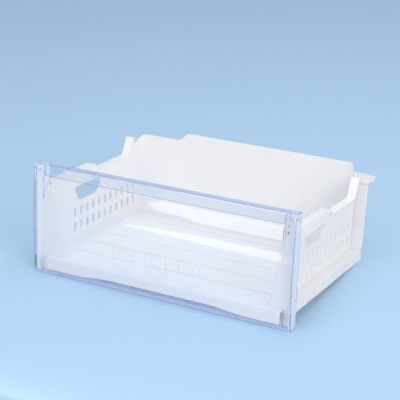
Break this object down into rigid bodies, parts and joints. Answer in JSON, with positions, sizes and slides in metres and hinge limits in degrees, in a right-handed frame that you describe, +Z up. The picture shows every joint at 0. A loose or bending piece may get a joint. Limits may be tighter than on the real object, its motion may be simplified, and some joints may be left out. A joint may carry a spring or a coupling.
{
  "type": "freezer drawer",
  "caption": "Freezer drawer: white slotted tub with side hand holes and a stepped rear, closed by a clear clip-fitted front with a full-width grip recess.",
  "frame": {"origin": "middle of the footprint of the whole drawer with its rear lug, level with the lower edge of the clear front; the middle of the front is at X -3.5 mm", "axes": "+X to the right along the width, +Y from the clear front to the rear, +Z up; the floor of the tub and its side rails are level"},
  "size_m": [0.467, 0.309, 0.186],
  "materials": {
    "tub_white": "satin moulded polystyrene, slightly translucent",
    "clear_front": "clear moulded polystyrene with a faint blue tint, glossy"
  },
  "bodies": {
    "root": {"tub": "tub_white", "front_panel": "clear_front"}
  },
  "joints": []
}
